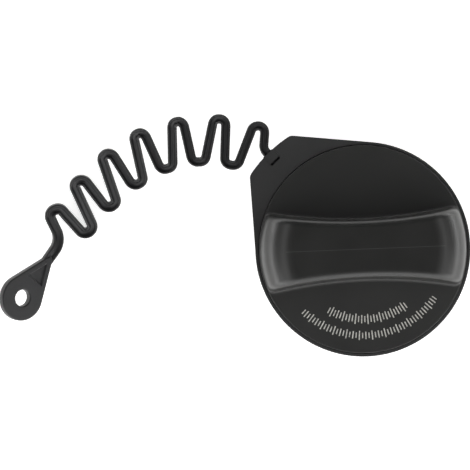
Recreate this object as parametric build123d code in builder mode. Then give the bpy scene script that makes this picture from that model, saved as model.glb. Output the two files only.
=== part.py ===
from build123d import *
import math
import os

# Fuel filler cap with a loose tether ring and a serpentine tether strap.
# Millimetres, +Z up. The origin is on the cap's axis at the bottom rim of the plug.

# ---- Gaps between pieces ------------------------------------------------------------
running_gap = 0.3
press_gap = 0.1
seal_gap = 0.05

# ---- Plug: threaded closure ---------------------------------------------------------
plug_radius = 21.3
plug_wall = 2.3
nose_chamfer = 0.5
counterbore_wall = 1.2
counterbore_depth = 2.0
flange_bottom = 31.0
flange_thickness = 2.0
web_thickness = 2.4
tower_wall = 2.0
tower_height = 5.5
thread_start = 7.0
thread_pitch = 7.5
thread_turns = 1.6
thread_depth = 2.5
thread_root_width = 4.4
thread_crest_width = 1.8
vent_hole_radius = 1.6
vent_circle_radius = 11.0
vent_holes = 6
hub_socket_radius = 5.0

# ---- Neck gasket --------------------------------------------------------------------
gasket_height = 3.8
gasket_width = 6.4
gasket_lip_groove = 1.5
gasket_lip_groove_height = 1.1
gasket_edge_chamfer = 0.4

# ---- Ratchet and pawls --------------------------------------------------------------
ratchet_teeth = 24
ratchet_outer_radius = 25.8
ratchet_rim = 1.9
ratchet_tooth_depth = 1.5
ratchet_height = 4.0
ratchet_keys = 4
ratchet_key_width = 4.0
ratchet_key_depth = 1.0
pawls = 3
pawl_hub_radius = 14.0
pawl_hub_wall = 5.0
pawl_thickness = 3.0
pawl_arm_width = 1.8
pawl_arm_sweep = 68.0
pawl_head_length = 3.2
splines = 6
spline_width = 2.2
spline_depth = 1.3

# ---- Cover and grip -----------------------------------------------------------------
cover_depth = 11.0
disc_thickness = 2.2
disc_edge_radius = 0.25
skirt_wall = 1.8
skirt_moat = 2.95
thrust_wall = 2.2
thrust_wall_setback = 2.5
grip_height = 15.0
grip_half_width = 11.3
grip_foot_side_radius = 170.0
grip_side_lean = 0.6
grip_side_radius = 213.0
grip_base_fillet = 1.3
grip_edge_fillet = 3.0
grip_end_setback = 0.3
grip_end_draft = 8.0
grip_shoulder_radius = 12.0
grip_wall = 2.2
grip_rib_thickness = 1.6
grip_rib_spacing = 18.0
grip_ribs = 4
boss_clearance = 0.3
boss_foot_gap = 0.3
boss_wall = 2.0

# ---- Thrust washer ------------------------------------------------------------------
washer_thickness = 0.6
washer_width = 2.4

# ---- Retainer ring ------------------------------------------------------------------
retainer_wall = 2.2
retainer_lip_thickness = 1.5
retainer_gasket_gap = 0.7
retainer_lip_reach = 2.3
retainer_height = 9.0
snap_bead = 0.4
snap_bead_height = 1.4
snap_bead_rise = 2.6

# ---- Tether ring --------------------------------------------------------------------
ring_wall = 1.05
ring_flange_thickness = 1.6
ring_top_step = 0.8
ring_edge_radius = 0.8
tab_reach = 10.5
tab_thickness = 2.6
tab_start_angle = 83.0
tab_end_angle = 182.0
tab_corner_radius = 3.0
socket_depth = 6.4
socket_width = 5.0
socket_height = 2.6
socket_roof = 1.3
socket_wall = 1.4
slot_length = 4.3
slot_width = 0.9
slot_setback = 4.1
patch_width = 5.2
patch_depth = 0.3

# ---- Tether strap -------------------------------------------------------------------
strap_width = 2.45
strap_height = 3.8
strap_bevel = 0.5
strap_groove_half_width = 0.4
strap_groove_depth = 0.7
bend_radius = 2.6
entry_bend_radius = 4.0
neck_bend_radius = 7.0
eyelet_radius = 9.1
eyelet_hole_radius = 3.3
eyelet_thickness = 3.2
eyelet_neck_radius = 1.5
eyelet_length = 18.8
eyelet_recess_depth = 0.8
eyelet_recess_start = 8.6
eyelet_recess_end = 17.0
eyelet_recess_half_width = 4.0
eyelet_tilt = 33.0
eyelet_pitch = 17.0
neck_floor_gap = 3.3
strap_root_gap = 0.2
strap_root_length = 2.1
tongue_width = 4.5
tongue_height = 2.1
barb_width = 3.9
barb_depth = 0.6
barb_setback = 0.9

# Plan places of the strap's bends, measured from its root at the tab: outer and inner row in turn.
strap_bends = [
    (-2.9, 11.0),
    (-14.2, -3.7),
    (-17.8, 14.3),
    (-26.7, -1.7),
    (-34.3, 14.5),
    (-39.3, -3.5),
    (-49.9, 10.7),
    (-51.1, -8.7),
    (-63.3, 3.5),
    (-62.2, -16.8),
    (-75.2, -6.3),
    (-72.2, -26.6),
    (-85.5, -17.4),
]
neck_corner = (-83.4, -29.7)
eyelet_place = (-99.5, -51.7)

# ---- Valve cartridge ----------------------------------------------------------------
housing_collar_height = 6.0
housing_wall = 2.0
housing_air_gap = 2.4
housing_head_gap = 3.6
seat_recess_depth = 3.0
housing_roof = 1.4
housing_flange_thickness = 1.5
housing_windows = 4
housing_window_width = 6.0
housing_window_height = 5.0
housing_window_turn = 45.0
guide_ribs = 6
guide_rib_thickness = 1.4
guide_rib_depth = 1.9
seat_plate_thickness = 2.0
seat_lip_cover = 0.4
seat_lip_width = 1.0
seat_lip_height = 1.0
seat_ledge = 0.9
o_ring_section = 0.9
o_ring_sides = 8
valve_plate_thickness = 1.6
pressure_seal_thickness = 1.6
pressure_seal_setback = 1.2
spring_washer_width = 3.0
spring_washer_thickness = 0.6
spring_boss_height = 1.2
spring_boss_wall = 1.4
pressure_coil_setback = 2.0
pressure_wire_radius = 0.55
pressure_coils = 4.0
stem_radius = 1.3
stem_groove_depth = 0.3
stem_end = 0.6
stem_gap = 0.15
vacuum_lift_room = 2.35
poppet_cover = 0.6
poppet_side_gap = 0.5
poppet_thickness = 1.2
vacuum_seal_thickness = 0.9
guide_sleeve_wall = 1.55
guide_sleeve_height = 4.8
air_hole_radius = 0.8
air_hole_gap = 0.4
air_holes = 6
vacuum_coil_gap = 0.5
vacuum_wire_radius = 0.25
vacuum_coils = 4.0
wire_sides = 6
clip_overhang = 0.4
clip_thickness = 0.6

# ---- Places worked out from the sizes above -----------------------------------------
# From the plug outwards
plug_bore_radius = plug_radius - plug_wall
counterbore_radius = plug_radius - counterbore_wall
gasket_inner_radius = plug_radius + press_gap
gasket_outer_radius = gasket_inner_radius + gasket_width
ratchet_root_radius = ratchet_outer_radius - ratchet_rim
ratchet_tip_radius = ratchet_root_radius - ratchet_tooth_depth
tower_bore_radius = ratchet_outer_radius + press_gap
tower_radius = tower_bore_radius + tower_wall
thrust_wall_radius = tower_radius + thrust_wall_setback + thrust_wall
retainer_bore_radius = thrust_wall_radius + press_gap
retainer_radius = retainer_bore_radius + retainer_wall
retainer_inner_radius = gasket_outer_radius + retainer_gasket_gap
retainer_lip_radius = retainer_radius + retainer_lip_reach
flange_radius = retainer_bore_radius - running_gap
washer_inner_radius = flange_radius - washer_width
skirt_bore_radius = retainer_radius + skirt_moat
disc_radius = skirt_bore_radius + skirt_wall
grip_end_radius = disc_radius - grip_end_setback
ring_flange_inner_radius = retainer_radius + running_gap
ring_bore_radius = disc_radius + running_gap
ring_radius = ring_bore_radius + ring_wall
tab_radius = ring_radius + tab_reach
slot_radius = tab_radius - slot_setback
pawl_bore_radius = pawl_hub_radius - pawl_hub_wall
boss_radius = pawl_bore_radius - boss_clearance
# From the plug's flange up and down
flange_top = flange_bottom + flange_thickness
web_bottom = flange_top - web_thickness
tower_top = flange_top + tower_height
gasket_bottom = flange_bottom - gasket_height
washer_top = flange_top + washer_thickness
thrust_wall_bottom = washer_top + running_gap
disc_top = flange_top + cover_depth
disc_bottom = disc_top - disc_thickness
grip_top = disc_top + grip_height
retainer_lip_top = flange_bottom - running_gap
retainer_bottom = retainer_lip_top - retainer_lip_thickness
ring_flange_bottom = retainer_lip_top + running_gap
ring_flange_top = ring_flange_bottom + ring_flange_thickness
skirt_bottom = ring_flange_top + running_gap
ring_top = disc_top - ring_top_step
tab_bottom = ring_top - tab_thickness
tab_middle_angle = (tab_start_angle + tab_end_angle) / 2
pawl_bottom = flange_top + running_gap
pawl_top = pawl_bottom + pawl_thickness
tooth_angle = 360 / ratchet_teeth

os.makedirs("parts", exist_ok=True)


def polar(radius, angle):
    """Point of the XY plane at a radius and an angle in degrees."""
    return (radius * math.cos(math.radians(angle)), radius * math.sin(math.radians(angle)))


# ---- Plug body ----------------------------------------------------------------------
with BuildPart() as plug_body:
    with BuildSketch(Plane.XZ):
        with BuildLine():
            Polyline(
                (counterbore_radius, 0),
                (plug_radius - nose_chamfer, 0),
                (plug_radius, nose_chamfer),
                (plug_radius, flange_bottom),
                (flange_radius, flange_bottom),
                (flange_radius, flange_top),
                (tower_radius, flange_top),
                (tower_radius, tower_top),
                (tower_bore_radius, tower_top),
                (tower_bore_radius, flange_top),
                (hub_socket_radius, flange_top),
                (hub_socket_radius, web_bottom),
                (plug_bore_radius, web_bottom),
                (plug_bore_radius, counterbore_depth),
                (counterbore_radius, counterbore_depth),
                close=True,
            )
        make_face()
    revolve(axis=Axis.Z)
    # Coarse lead thread
    with BuildLine() as thread_path:
        Helix(
            pitch=thread_pitch,
            height=thread_pitch * thread_turns,
            radius=plug_radius - press_gap,
            center=(0, 0, thread_start),
        )
    with BuildSketch(Plane(thread_path.line @ 0, x_dir=(1, 0, 0), z_dir=thread_path.line % 0)):
        with BuildLine():
            Polyline(
                (-press_gap, -thread_root_width / 2),
                (thread_depth, -thread_crest_width / 2),
                (thread_depth, thread_crest_width / 2),
                (-press_gap, thread_root_width / 2),
                close=True,
            )
        make_face()
    sweep(path=thread_path.line, is_frenet=True)
    # Vent holes through the web
    with BuildSketch(Plane.XY.offset(web_bottom)):
        with PolarLocations(vent_circle_radius, vent_holes):
            Circle(vent_hole_radius)
    extrude(amount=web_thickness, mode=Mode.SUBTRACT)
    # Notches for the ratchet ring's keys
    with BuildSketch(Plane.XY.offset(flange_top)):
        with PolarLocations(tower_bore_radius, ratchet_keys):
            Rectangle(2 * (ratchet_key_depth + press_gap), ratchet_key_width + 2 * press_gap)
    extrude(amount=tower_height, mode=Mode.SUBTRACT)
plug_body.part.label = "plug_body"
export_step(plug_body.part, "parts/plug_body.step")

# ---- Neck gasket --------------------------------------------------------------------
gasket_middle = gasket_bottom + gasket_height / 2
with BuildPart() as neck_gasket:
    with BuildSketch(Plane.XZ) as gasket_profile:
        with BuildLine():
            Polyline(
                (gasket_inner_radius, gasket_bottom),
                (gasket_outer_radius, gasket_bottom),
                (gasket_outer_radius, gasket_middle - gasket_lip_groove_height / 2),
                (gasket_outer_radius - gasket_lip_groove, gasket_middle),
                (gasket_outer_radius, gasket_middle + gasket_lip_groove_height / 2),
                (gasket_outer_radius, flange_bottom),
                (gasket_inner_radius, flange_bottom),
                close=True,
            )
        make_face()
        chamfer(gasket_profile.vertices().group_by(Axis.X)[-1], gasket_edge_chamfer)
    revolve(axis=Axis.Z)
neck_gasket.part.label = "neck_gasket"
export_step(neck_gasket.part, "parts/neck_gasket.step")

# ---- Thrust washer ------------------------------------------------------------------
with BuildPart() as thrust_washer:
    with BuildSketch(Plane.XY.offset(flange_top)):
        Circle(flange_radius)
        Circle(washer_inner_radius, mode=Mode.SUBTRACT)
    extrude(amount=washer_thickness)
thrust_washer.part.label = "thrust_washer"
export_step(thrust_washer.part, "parts/thrust_washer.step")

# ---- Ratchet ring -------------------------------------------------------------------
# Each inner tooth has a steep face that drives the plug off and a slope that the pawls click over.
tooth_points = []
for tooth in range(ratchet_teeth):
    tooth_points.append(polar(ratchet_tip_radius, tooth * tooth_angle))
    tooth_points.append(polar(ratchet_root_radius, (tooth + 1) * tooth_angle))
with BuildPart() as ratchet_ring:
    with BuildSketch(Plane.XY.offset(flange_top)):
        Circle(ratchet_outer_radius)
        with PolarLocations(ratchet_outer_radius, ratchet_keys):
            Rectangle(2 * ratchet_key_depth, ratchet_key_width)
        with BuildLine():
            Polyline(*tooth_points, close=True)
        make_face(mode=Mode.SUBTRACT)
    extrude(amount=ratchet_height)
ratchet_ring.part.label = "ratchet_ring"
export_step(ratchet_ring.part, "parts/ratchet_ring.step")

# ---- Pawl ring ----------------------------------------------------------------------
# The head of each arm lies in a tooth space, against the steep face ahead of it.
slope_start = Vector(*polar(ratchet_tip_radius, 0))
slope_end = Vector(*polar(ratchet_root_radius, tooth_angle))
slope_run = (slope_end - slope_start).normalized()
slope_inward = slope_run.rotate(Axis.Z, 90)
head_front = slope_end + (slope_inward - slope_run) * running_gap
head_rear = head_front - slope_run * pawl_head_length
head_inner = head_front - head_front.normalized() * pawl_arm_width
arm_tip = head_rear + slope_inward * pawl_arm_width
arm_tip_angle = math.degrees(math.atan2(arm_tip.Y, arm_tip.X))
arm_middle_radius = (pawl_hub_radius + arm_tip.length) / 2 + pawl_arm_width / 2
with BuildPart() as pawl_ring:
    with BuildSketch(Plane.XY.offset(pawl_bottom)):
        Circle(pawl_hub_radius)
        for pawl in range(pawls):
            turn = pawl * 360 / pawls
            with BuildLine(mode=Mode.PRIVATE) as arm_line:
                ThreePointArc(
                    polar(pawl_hub_radius - pawl_arm_width / 2, arm_tip_angle - pawl_arm_sweep + turn),
                    polar(arm_middle_radius, arm_tip_angle - pawl_arm_sweep / 2 + turn),
                    arm_tip.rotate(Axis.Z, turn),
                )
            trace(arm_line.line, pawl_arm_width)
            with BuildLine():
                corners = [head_front, head_inner, arm_tip, head_rear]
                Polyline(*[corner.rotate(Axis.Z, turn) for corner in corners], close=True)
            make_face()
        Circle(pawl_bore_radius, mode=Mode.SUBTRACT)
        with PolarLocations(pawl_bore_radius, splines):
            Rectangle(
                2 * (spline_depth + running_gap),
                spline_width + 2 * running_gap,
                mode=Mode.SUBTRACT,
            )
    extrude(amount=pawl_thickness)
pawl_ring.part.label = "pawl_ring"
export_step(pawl_ring.part, "parts/pawl_ring.step")

# ---- Cover with its grip ------------------------------------------------------------
# The grip is a bar, more waisted at its foot than at its top, whose ends are turned about the
# cap's axis. One rounding runs along its top edges and down its corners, and the fillet at its
# foot runs out at the disc's edge.
bar_reach = ring_radius + grip_base_fillet
end_draft = math.radians(grip_end_draft)
shoulder_z = grip_top - grip_shoulder_radius
shoulder_center_radius = (
    grip_end_radius
    - (shoulder_z - disc_top) * math.tan(end_draft)
    - grip_shoulder_radius / math.cos(end_draft)
)


def waisted_bar(inset, bottom, top):
    """Bar with two shallow arcs for sides at its foot and its top, closed past the disc's edge."""
    with BuildPart() as bar:
        for height, half_width, side_radius in (
            (bottom, grip_half_width - inset, grip_foot_side_radius),
            (top, grip_half_width - grip_side_lean - inset, grip_side_radius),
        ):
            end_half_width = half_width + side_radius - math.sqrt(side_radius**2 - bar_reach**2)
            with BuildSketch(Plane.XY.offset(height)):
                with BuildLine():
                    front = ThreePointArc(
                        (-bar_reach, -end_half_width),
                        (0, -half_width),
                        (bar_reach, -end_half_width),
                    )
                    back = ThreePointArc(
                        (bar_reach, end_half_width),
                        (0, half_width),
                        (-bar_reach, end_half_width),
                    )
                    Line(front @ 1, back @ 0)
                    Line(back @ 1, front @ 0)
                make_face()
        loft(ruled=True)
    return bar.part


def turned_trim(inset):
    """Turned solid that trims the bar: drafted ends, a round shoulder and a flat top."""
    shoulder_radius = grip_shoulder_radius - inset
    with BuildPart() as trim:
        with BuildSketch(Plane.XZ):
            with BuildLine():
                shoulder = CenterArc(
                    (shoulder_center_radius, shoulder_z),
                    shoulder_radius,
                    grip_end_draft,
                    90 - grip_end_draft,
                )
                Polyline(
                    shoulder @ 1,
                    (0, grip_top - inset),
                    (0, disc_bottom),
                    (grip_end_radius - inset / math.cos(end_draft), disc_bottom),
                    (grip_end_radius - inset / math.cos(end_draft), disc_top),
                    shoulder @ 0,
                )
            make_face()
        revolve(axis=Axis.Z)
    return trim.part


outer_bar = waisted_bar(0, disc_top, grip_top)
outer_trim = turned_trim(0)
inner_bar = waisted_bar(grip_wall, disc_bottom, grip_top - grip_wall)
inner_trim = turned_trim(grip_wall)
bead_z = thrust_wall_bottom + snap_bead_rise
boss_bottom = flange_top + boss_foot_gap
with BuildPart() as grip_hollow:
    add(inner_bar)
    add(inner_trim, mode=Mode.INTERSECT)
    # Cross ribs and the drive boss are left standing
    with BuildSketch(Plane.XY.offset(disc_bottom)):
        with GridLocations(grip_rib_spacing, 0, grip_ribs, 1):
            Rectangle(grip_rib_thickness, 2 * grip_half_width)
        Circle(boss_radius)
    extrude(amount=grip_top - disc_bottom, mode=Mode.SUBTRACT)
with BuildPart() as handle_cover:
    add(outer_bar)
    add(outer_trim, mode=Mode.INTERSECT)
    side_edges = handle_cover.edges().filter_by(lambda edge: abs(edge.center().Y) > grip_half_width / 2)
    fillet(side_edges.filter_by(lambda edge: edge.center().Z > disc_top + seal_gap), grip_edge_fillet)
    # Disc with the fillet round the bar's foot, then trimmed to its own edge
    with BuildSketch(Plane.XY.offset(disc_bottom)):
        Circle(disc_radius + 2 * grip_base_fillet)
    extrude(amount=disc_thickness)
    foot_edges = handle_cover.edges().filter_by_position(Axis.Z, disc_top - seal_gap, disc_top + seal_gap)
    fillet(foot_edges.filter_by(lambda edge: edge.length < math.pi * disc_radius), grip_base_fillet)
    with BuildSketch(Plane.XZ):
        with BuildLine():
            Polyline(
                (0, disc_bottom),
                (disc_radius, disc_bottom),
                (disc_radius, disc_top),
                (grip_end_radius, disc_top),
                (grip_end_radius, grip_top),
                (0, grip_top),
                close=True,
            )
        make_face()
    revolve(axis=Axis.Z, mode=Mode.INTERSECT)
    disc_rim = handle_cover.edges().filter_by_position(Axis.Z, disc_top - seal_gap, disc_top + seal_gap)
    fillet(disc_rim.filter_by(lambda edge: edge.length > math.pi * disc_radius), disc_edge_radius)
    # Skirt, thrust wall and its snap bead
    with BuildSketch(Plane.XY.offset(skirt_bottom)):
        Circle(disc_radius)
        Circle(skirt_bore_radius, mode=Mode.SUBTRACT)
    extrude(until=Until.NEXT, target=handle_cover.part)
    with BuildSketch(Plane.XZ):
        with BuildLine():
            Polyline(
                (thrust_wall_radius - thrust_wall, thrust_wall_bottom),
                (thrust_wall_radius, thrust_wall_bottom),
                (thrust_wall_radius, bead_z - snap_bead_height / 2),
                (thrust_wall_radius + snap_bead, bead_z),
                (thrust_wall_radius, bead_z + snap_bead_height / 2),
                (thrust_wall_radius, disc_bottom),
                (thrust_wall_radius - thrust_wall, disc_bottom),
                close=True,
            )
        make_face()
    revolve(axis=Axis.Z)
    # Hollow under the grip, then the splined drive boss
    add(grip_hollow.part, mode=Mode.SUBTRACT)
    with BuildSketch(Plane.XY.offset(boss_bottom)):
        Circle(boss_radius)
    extrude(amount=disc_bottom - boss_bottom)
    with BuildSketch(Plane.XY.offset(boss_bottom)):
        with PolarLocations(boss_radius, splines):
            Rectangle(2 * spline_depth, spline_width)
    extrude(amount=pawl_top - boss_bottom)
    with BuildSketch(Plane.XY.offset(boss_bottom)):
        Circle(boss_radius - boss_wall)
    extrude(amount=grip_top - grip_wall - boss_bottom, mode=Mode.SUBTRACT)
handle_cover.part.label = "handle_cover"
export_step(handle_cover.part, "parts/handle_cover.step")

# ---- Retainer ring ------------------------------------------------------------------
# Snaps over the cover's thrust wall. Its lips hold the plug's flange and the tether ring.
retainer_top = retainer_bottom + retainer_height
with BuildPart() as cover_retainer_ring:
    with BuildSketch(Plane.XZ):
        with BuildLine():
            Polyline(
                (retainer_inner_radius, retainer_bottom),
                (retainer_lip_radius, retainer_bottom),
                (retainer_lip_radius, retainer_lip_top),
                (retainer_radius, retainer_lip_top),
                (retainer_radius, retainer_top),
                (retainer_bore_radius, retainer_top),
                (retainer_bore_radius, bead_z + snap_bead_height / 2 + press_gap),
                (retainer_bore_radius + snap_bead, bead_z + press_gap),
                (retainer_bore_radius + snap_bead, bead_z - press_gap),
                (retainer_bore_radius, bead_z - snap_bead_height / 2 - press_gap),
                (retainer_bore_radius, retainer_lip_top),
                (retainer_inner_radius, retainer_lip_top),
                close=True,
            )
        make_face()
    revolve(axis=Axis.Z)
cover_retainer_ring.part.label = "cover_retainer_ring"
export_step(cover_retainer_ring.part, "parts/cover_retainer_ring.step")

# ---- Tether ring --------------------------------------------------------------------
tab_corner_turn = math.degrees(math.acos(ring_radius / tab_radius))
tab_plane = Plane.XY.rotated((0, 0, tab_middle_angle))
strap_z = ring_top - socket_roof - socket_height / 2
socket_bottom = strap_z - socket_height / 2
socket_floor = socket_bottom - socket_roof
with BuildPart() as tether_ring:
    with BuildSketch(Plane.XZ) as ring_profile:
        with BuildLine():
            Polyline(
                (ring_flange_inner_radius, ring_flange_bottom),
                (ring_radius, ring_flange_bottom),
                (ring_radius, ring_top),
                (ring_bore_radius, ring_top),
                (ring_bore_radius, ring_flange_top),
                (ring_flange_inner_radius, ring_flange_top),
                close=True,
            )
        make_face()
        fillet(ring_profile.vertices().group_by(Axis.X)[-1].sort_by(Axis.Y)[0], ring_edge_radius)
    revolve(axis=Axis.Z)
    # Tab: two tangents to the ring, closed by an arc about the cap's axis
    with BuildSketch(Plane.XY.offset(tab_bottom)) as tab_outline:
        with BuildLine():
            tab_edge = CenterArc(
                (0, 0),
                tab_radius,
                tab_start_angle + tab_corner_turn,
                tab_end_angle - tab_start_angle - 2 * tab_corner_turn,
            )
            Polyline(
                tab_edge @ 1,
                polar(ring_radius, tab_end_angle),
                (0, 0),
                polar(ring_radius, tab_start_angle),
                tab_edge @ 0,
            )
        make_face()
        fillet(tab_outline.vertices().sort_by(SortBy.DISTANCE)[-2:], tab_corner_radius)
        Circle(ring_bore_radius, mode=Mode.SUBTRACT)
    extrude(amount=tab_thickness)
    # Box under the tab for the strap's root, its socket and the slot that the barb clicks into
    with BuildSketch(tab_plane.offset(socket_floor)):
        with Locations((tab_radius - socket_depth / 2 - socket_wall, 0)):
            Rectangle(socket_depth, socket_width + 2 * socket_wall)
    extrude(amount=ring_top - socket_floor)
    with BuildSketch(tab_plane.offset(socket_bottom)):
        with Locations((tab_radius, 0)):
            Rectangle(2 * socket_depth, socket_width)
    extrude(amount=socket_height, mode=Mode.SUBTRACT)
    with BuildSketch(tab_plane.offset(strap_z)):
        with Locations((slot_radius, 0)):
            Rectangle(slot_width, slot_length)
    extrude(amount=ring_top - strap_z, mode=Mode.SUBTRACT)
    # Shallow sunken patch from the slot out to the tab's edge
    with BuildSketch(tab_plane.offset(ring_top - patch_depth)):
        with Locations((slot_radius, 0)):
            Rectangle(2 * slot_setback, patch_width, align=(Align.MIN, Align.CENTER))
    extrude(amount=patch_depth, mode=Mode.SUBTRACT)
tether_ring.part.label = "tether_ring"
export_step(tether_ring.part, "parts/tether_ring.step")

# ---- Valve housing ------------------------------------------------------------------
# Cartridge pushed into the plug from below; its flange seats in the plug's counterbore.
housing_bottom = counterbore_depth - housing_flange_thickness
housing_collar_radius = plug_bore_radius - press_gap
collar_top = counterbore_depth + housing_collar_height
collar_middle = counterbore_depth + housing_collar_height / 2
o_ring_radius = plug_bore_radius - seal_gap - o_ring_section
groove_radius = o_ring_radius - o_ring_section - seal_gap
groove_half_width = o_ring_section + press_gap
housing_bore_radius = plug_bore_radius - housing_air_gap - housing_wall
housing_top = web_bottom - housing_head_gap
seat_top = housing_bottom + seat_recess_depth
seat_recess_radius = housing_bore_radius + seat_ledge
roof_bottom = housing_top - housing_roof
valve_plate_radius = housing_bore_radius - guide_rib_depth - running_gap
pressure_coil_radius = valve_plate_radius - pressure_coil_setback
spring_boss_radius = pressure_coil_radius - pressure_wire_radius - running_gap
with BuildPart() as valve_housing:
    with BuildSketch(Plane.XZ):
        with BuildLine():
            Polyline(
                (seat_recess_radius, housing_bottom),
                (counterbore_radius - press_gap, housing_bottom),
                (counterbore_radius - press_gap, counterbore_depth),
                (housing_collar_radius, counterbore_depth),
                (housing_collar_radius, collar_middle - groove_half_width),
                (groove_radius, collar_middle - groove_half_width),
                (groove_radius, collar_middle + groove_half_width),
                (housing_collar_radius, collar_middle + groove_half_width),
                (housing_collar_radius, collar_top),
                (housing_bore_radius + housing_wall, collar_top),
                (housing_bore_radius + housing_wall, housing_top),
                (spring_boss_radius - spring_boss_wall, housing_top),
                (spring_boss_radius - spring_boss_wall, roof_bottom - spring_boss_height),
                (spring_boss_radius, roof_bottom - spring_boss_height),
                (spring_boss_radius, roof_bottom),
                (housing_bore_radius, roof_bottom),
                (housing_bore_radius, seat_top),
                (seat_recess_radius, seat_top),
                close=True,
            )
        make_face()
    revolve(axis=Axis.Z)
    # Ribs that guide the valve plate
    with BuildSketch(Plane.XY.offset(collar_middle)):
        with PolarLocations(housing_bore_radius - guide_rib_depth / 2 + press_gap, guide_ribs):
            Rectangle(guide_rib_depth + 2 * press_gap, guide_rib_thickness)
    extrude(amount=roof_bottom - collar_middle)
    # Side windows that let the air out
    with BuildSketch(Plane.XY.offset(roof_bottom - housing_window_height)):
        with PolarLocations(housing_bore_radius + housing_wall / 2, housing_windows, housing_window_turn):
            Rectangle(2 * housing_wall, housing_window_width)
    extrude(amount=housing_window_height, mode=Mode.SUBTRACT)
valve_housing.part.label = "valve_housing"
export_step(valve_housing.part, "parts/valve_housing.step")

# ---- Housing O-ring -----------------------------------------------------------------
with BuildPart() as housing_o_ring:
    with BuildSketch(Plane.XZ):
        with Locations((o_ring_radius, collar_middle)):
            RegularPolygon(o_ring_section, o_ring_sides)
    revolve(axis=Axis.Z)
housing_o_ring.part.label = "housing_o_ring"
export_step(housing_o_ring.part, "parts/housing_o_ring.step")

# ---- Valve seat plate ---------------------------------------------------------------
# From the stem outwards: sleeve, air holes, poppet, seal and port
guide_sleeve_radius = stem_radius + stem_gap + guide_sleeve_wall
air_hole_circle = guide_sleeve_radius + air_hole_gap + air_hole_radius
poppet_radius = air_hole_circle + air_hole_radius + poppet_cover
pressure_seal_inner_radius = poppet_radius + poppet_side_gap
pressure_seal_outer_radius = valve_plate_radius - pressure_seal_setback
seat_port_radius = pressure_seal_inner_radius + seat_lip_cover
with BuildPart() as valve_seat_plate:
    with BuildSketch(Plane.XZ):
        with BuildLine():
            Polyline(
                (seat_port_radius, seat_top - seat_plate_thickness),
                (seat_recess_radius - press_gap, seat_top - seat_plate_thickness),
                (seat_recess_radius - press_gap, seat_top),
                (seat_port_radius + seat_lip_width, seat_top),
                (seat_port_radius + seat_lip_width, seat_top + seat_lip_height),
                (seat_port_radius, seat_top + seat_lip_height),
                close=True,
            )
        make_face()
    revolve(axis=Axis.Z)
valve_seat_plate.part.label = "valve_seat_plate"
export_step(valve_seat_plate.part, "parts/valve_seat_plate.step")

# ---- Pressure valve: seal, plate, spring washer and spring --------------------------
seal_bottom = seat_top + seat_lip_height + seal_gap
plate_bottom = seal_bottom + pressure_seal_thickness
plate_top = plate_bottom + valve_plate_thickness
spring_bottom = plate_top + spring_washer_thickness
with BuildPart() as pressure_valve_seal:
    with BuildSketch(Plane.XY.offset(seal_bottom)):
        Circle(pressure_seal_outer_radius)
        Circle(pressure_seal_inner_radius, mode=Mode.SUBTRACT)
    extrude(amount=pressure_seal_thickness)
pressure_valve_seal.part.label = "pressure_valve_seal"
export_step(pressure_valve_seal.part, "parts/pressure_valve_seal.step")

with BuildPart() as pressure_valve_plate:
    with BuildSketch(Plane.XY.offset(plate_bottom)):
        Circle(valve_plate_radius)
        with PolarLocations(air_hole_circle, air_holes):
            Circle(air_hole_radius, mode=Mode.SUBTRACT)
    extrude(amount=valve_plate_thickness)
    with BuildSketch(Plane.XY.offset(plate_top)):
        Circle(guide_sleeve_radius)
    extrude(amount=guide_sleeve_height)
    with BuildSketch(Plane.XY.offset(plate_bottom)):
        Circle(stem_radius + stem_gap)
    extrude(amount=valve_plate_thickness + guide_sleeve_height, mode=Mode.SUBTRACT)
pressure_valve_plate.part.label = "pressure_valve_plate"
export_step(pressure_valve_plate.part, "parts/pressure_valve_plate.step")

with BuildPart() as spring_seat_washer:
    with BuildSketch(Plane.XY.offset(plate_top)):
        Circle(pressure_coil_radius + spring_washer_width / 2)
        Circle(pressure_coil_radius - spring_washer_width / 2, mode=Mode.SUBTRACT)
    extrude(amount=spring_washer_thickness)
spring_seat_washer.part.label = "spring_seat_washer"
export_step(spring_seat_washer.part, "parts/spring_seat_washer.step")


def coil_spring(bottom, top, coil_radius, wire_radius, coils):
    """Open coil spring between two seats."""
    height = top - bottom - 2 * wire_radius
    with BuildPart() as spring:
        with BuildLine() as wire_path:
            Helix(height / coils, height, coil_radius, center=(0, 0, bottom + wire_radius))
        with BuildSketch(Plane(wire_path.line @ 0, z_dir=wire_path.line % 0)):
            RegularPolygon(wire_radius, wire_sides)
        sweep(path=wire_path.line, is_frenet=True)
    return spring.part


pressure_spring = coil_spring(
    spring_bottom, roof_bottom, pressure_coil_radius, pressure_wire_radius, pressure_coils
)
pressure_spring.label = "pressure_spring"
export_step(pressure_spring, "parts/pressure_spring.step")

# ---- Vacuum valve: seal, poppet, clip and spring ------------------------------------
vacuum_seal_bottom = plate_bottom - seal_gap - vacuum_seal_thickness
clip_bottom = plate_top + guide_sleeve_height + vacuum_lift_room
stem_top = clip_bottom + clip_thickness + stem_end
vacuum_coil_radius = guide_sleeve_radius + vacuum_coil_gap + vacuum_wire_radius
clip_radius = vacuum_coil_radius + vacuum_wire_radius + clip_overhang
with BuildPart() as vacuum_seal:
    with BuildSketch(Plane.XY.offset(vacuum_seal_bottom)):
        Circle(poppet_radius - press_gap)
        Circle(stem_radius + seal_gap, mode=Mode.SUBTRACT)
    extrude(amount=vacuum_seal_thickness)
vacuum_seal.part.label = "vacuum_seal"
export_step(vacuum_seal.part, "parts/vacuum_seal.step")

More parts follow.
